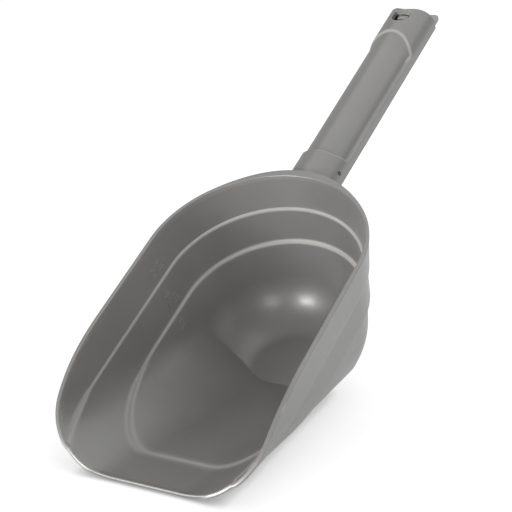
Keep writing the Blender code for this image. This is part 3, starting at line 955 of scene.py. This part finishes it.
def steel(name):
    """Drawn steel with fine marks round the pin."""
    material = bpy.data.materials.new(name)
    nodes = Nodes(material)
    place = nodes.add("ShaderNodeTexCoord").outputs["Object"]
    marks = nodes.noise(place, *STEEL_NOISE)
    nodes.shader.inputs["Base Color"].default_value = STEEL_COLOUR
    nodes.shader.inputs["Metallic"].default_value = 1.0
    nodes.link(nodes.ramp(marks, *STEEL_ROUGHNESS), nodes.shader.inputs["Roughness"])
    nodes.link(nodes.bump(marks, STEEL_HEIGHT, STEEL_STRENGTH), nodes.shader.inputs["Normal"])
    return material


# --- Assembly ------------------------------------------------------------------------------


def dress(item, material):
    """Give an object its material and smooth shading with sharp edges kept."""
    item.data.materials.clear()
    item.data.materials.append(material)
    item.data.shade_smooth()
    item.data.set_sharp_from_angle(angle=SHARP_ANGLE)


def place_in_row(item):
    """Scale a rim-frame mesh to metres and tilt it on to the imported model."""
    item.data.transform(rim_to_row() @ Matrix.Scale(MM, 4))
    item.data.update()


def soften(item, width):
    """Round the sharp edges of an object."""
    bevel = item.modifiers.new("bevel", "BEVEL")
    bevel.width = width
    bevel.segments = BEVEL_SEGMENTS
    bevel.limit_method = "ANGLE"
    bevel.angle_limit = BEVEL_ANGLE
    bevel.harden_normals = True


def join(name, parts):
    """Join meshes into one object."""
    bm = bmesh.new()
    for part in parts:
        bm.from_mesh(part.data)
        bpy.data.objects.remove(part)
    mesh = bpy.data.meshes.new(name)
    bm.to_mesh(mesh)
    bm.free()
    return link_mesh(name, mesh)


def painted_highlight_amount(point):
    """How strongly a point of the moulding gets the painted highlight, in the rim frame."""
    if point.y > ARCH_HIGHLIGHT_START:
        share = recess_share(point.x, point.y, point.z)
        fade = smooth_step((point.y - ARCH_HIGHLIGHT_START) / ARCH_HIGHLIGHT_FADE)
        return ARCH_HIGHLIGHT * fade * 4.0 * share * (1.0 - share)
    for ledge in LEDGE_DEPTHS:
        if 0.0 <= -point.z - ledge <= LEDGE_SLANT:
            if inside_back(abs(point.x), point.y, -point.z, WALL / 2):
                back = smooth_step((point.y + BACK_REACH) / (2 * BACK_REACH))
                return LEDGE_HIGHLIGHT_FRONT + (LEDGE_HIGHLIGHT_BACK - LEDGE_HIGHLIGHT_FRONT) * back
    return 0.0


def store_painted_highlight(item):
    """Store the painted highlight of every vertex for the material."""
    painted_highlight = item.data.attributes.new("painted_highlight", "FLOAT", "POINT")
    for vertex in item.data.vertices:
        painted_highlight.data[vertex.index].value = painted_highlight_amount(vertex.co)


def build_body(material):
    """The scoop's moulding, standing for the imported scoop_body."""
    body = join("scoop_moulding", [make_bowl(), make_handle()])
    store_painted_highlight(body)
    place_in_row(body)
    dress(body, material)
    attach(body, "scoop")
    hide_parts("scoop_body")


def numeral_mesh(text, size):
    """A flat raised numeral with its middle at the origin, in mm."""
    curve = bpy.data.curves.new("numeral", "FONT")
    curve.body = text
    curve.size = size
    curve.extrude = MARK_HEIGHT / 2
    curve.align_x = "CENTER"
    curve.align_y = "CENTER"
    item = bpy.data.objects.new("numeral", curve)
    bpy.context.scene.collection.objects.link(item)
    graph = bpy.context.evaluated_depsgraph_get()
    mesh = bpy.data.meshes.new_from_object(item.evaluated_get(graph))
    bpy.data.objects.remove(item)
    return link_mesh("numeral", mesh)


def lay_on_wall(item, y, depth):
    """Bend a flat mark on to the inside of the left wall at a station and a depth."""
    for vertex in item.data.vertices:
        along, up, out = vertex.co
        x = -half_width(depth - up, y + along, 0.0) + out
        vertex.co = (x, y + along, up - depth)


def fill_bars(y, depth):
    """Short bars in a stack, the lowest one longer."""
    bars = []
    for rank, length in enumerate(BAR_LENGTHS):
        up = rank * BAR_PITCH - BAR_PITCH
        low = (-length / 2, up - BAR_WIDTH / 2, -MARK_HEIGHT / 2)
        high = (length / 2, up + BAR_WIDTH / 2, MARK_HEIGHT / 2)
        bar = box("bar", low, high)
        lay_on_wall(bar, y, depth)
        bars.append(bar)
    return bars


def build_marks(material):
    """Generic raised fill marks above and below each ledge."""
    parts = []
    for text, ledge, y in zip(MARK_TEXTS, LEDGE_DEPTHS, MARK_STATIONS):
        numeral = numeral_mesh(text, MARK_SIZE)
        lay_on_wall(numeral, y, ledge - MARK_OFFSET)
        parts += [numeral, *fill_bars(y + MARK_GAP, ledge - MARK_OFFSET)]
        parts += fill_bars(y, ledge + MARK_OFFSET)
    marks = join("fill_marks", parts)
    place_in_row(marks)
    dress(marks, material)
    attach(marks, "scoop")


def dress_clip(material, pin_material):
    """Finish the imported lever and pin."""
    lever = frame["nodes"]["clip_lever"]
    dress(lever, material)
    soften(lever, LEVER_ROUNDING)
    pin = frame["nodes"]["hinge_pin"]
    dress(pin, pin_material)
    soften(pin, PIN_ROUNDING)


# --- Stage, light and camera ---------------------------------------------------------------


def floor_material():
    """White that glows for the camera, with a painted contact shadow where the scoop nearly touches
    it.
    """
    material = bpy.data.materials.new("floor_white")
    nodes = Nodes(material)
    nodes.shader.inputs["Base Color"].default_value = FLOOR_WHITE
    nodes.shader.inputs["Roughness"].default_value = FLOOR_ROUGHNESS
    nodes.shader.inputs["Specular IOR Level"].default_value = 0.0
    nodes.shader.inputs["Emission Color"].default_value = (1.0, 1.0, 1.0, 1.0)
    seen = nodes.add("ShaderNodeLightPath").outputs["Is Camera Ray"]
    glow = nodes.ramp(seen, FLOOR_BOUNCE, FLOOR_GLOW, start=0.0, end=1.0)
    near = nodes.add(
        "ShaderNodeAmbientOcclusion", samples=CONTACT_SAMPLES, Distance=CONTACT_REACH
    ).outputs["AO"]
    painted_shadow_factor = nodes.ramp(near, CONTACT_GLOW, 1.0, start=CONTACT_DARKEST, end=1.0)
    shaded = nodes.add("ShaderNodeMath", operation="MULTIPLY")
    nodes.link(glow, shaded.inputs[0])
    nodes.link(painted_shadow_factor, shaded.inputs[1])
    nodes.link(shaded.outputs["Value"], nodes.shader.inputs["Emission Strength"])
    return material


def build_floor():
    """A white floor, large enough to fill the view."""
    bm = bmesh.new()
    bmesh.ops.create_grid(bm, x_segments=1, y_segments=1, size=FLOOR_REACH)
    mesh = bpy.data.meshes.new("floor")
    bm.to_mesh(mesh)
    bm.free()
    floor = link_mesh("floor", mesh)
    floor.data.materials.append(floor_material())


def soft_box(name, azimuth, elevation, width, height, power):
    """A rectangular soft light that faces the bowl from a direction, in degrees."""
    around, up = math.radians(azimuth), math.radians(elevation)
    way = Vector((math.cos(around) * math.cos(up), math.sin(around) * math.cos(up), math.sin(up)))
    light = bpy.data.lights.new(name, "AREA")
    light.shape = "RECTANGLE"
    light.size = width
    light.size_y = height
    light.energy = power
    item = bpy.data.objects.new(name, light)
    item.location = Vector(LIGHT_AIM) + way * LIGHT_DISTANCE
    item.rotation_euler = (-way).to_track_quat("-Z", "Y").to_euler()
    bpy.context.scene.collection.objects.link(item)


def build_light():
    """An even white surround, a low key light in front, a weaker one on the right and a soft top."""
    world = bpy.data.worlds.new("studio")
    bpy.context.scene.world = world
    world.use_nodes = True
    tree = world.node_tree
    background = tree.nodes["Background"]
    background.inputs["Color"].default_value = SKY_COLOUR
    seen = tree.nodes.new("ShaderNodeLightPath").outputs["Is Camera Ray"]
    glow = tree.nodes.new("ShaderNodeMapRange")
    glow.inputs["To Min"].default_value = WORLD_GLOW
    glow.inputs["To Max"].default_value = WORLD_SEEN
    tree.links.new(seen, glow.inputs["Value"])
    tree.links.new(glow.outputs["Result"], background.inputs["Strength"])
    soft_box("key", *KEY_DIRECTION, *KEY_SIZE, KEY_POWER)
    soft_box("side", *SIDE_DIRECTION, *SIDE_SIZE, SIDE_POWER)
    soft_box("fill", *FILL_DIRECTION, *FILL_SIZE, FILL_POWER)
    bpy.context.scene.view_settings.view_transform = "Standard"


def build_camera():
    """The camera: in front of the lip, to its right and above it."""
    camera = bpy.data.cameras.new("camera")
    camera.sensor_width = CAMERA_SENSOR
    camera.lens = CAMERA_LENS
    camera.clip_start = CAMERA_NEAREST
    item = bpy.data.objects.new("camera", camera)
    item.location = CAMERA_PLACE
    item.rotation_euler = [math.radians(angle) for angle in CAMERA_TURN]
    bpy.context.scene.collection.objects.link(item)
    bpy.context.scene.camera = item


body_plastic = plastic("grey_plastic", *BODY_LOOK)
mark_plastic = plastic("grey_mark_plastic", *MARK_LOOK)
clip_plastic = plastic("clip_grey_plastic", *CLIP_LOOK)
pin_steel = steel("pin_drawn_steel")
build_body(body_plastic)
build_marks(mark_plastic)
dress_clip(clip_plastic, pin_steel)
build_floor()
build_light()
build_camera()
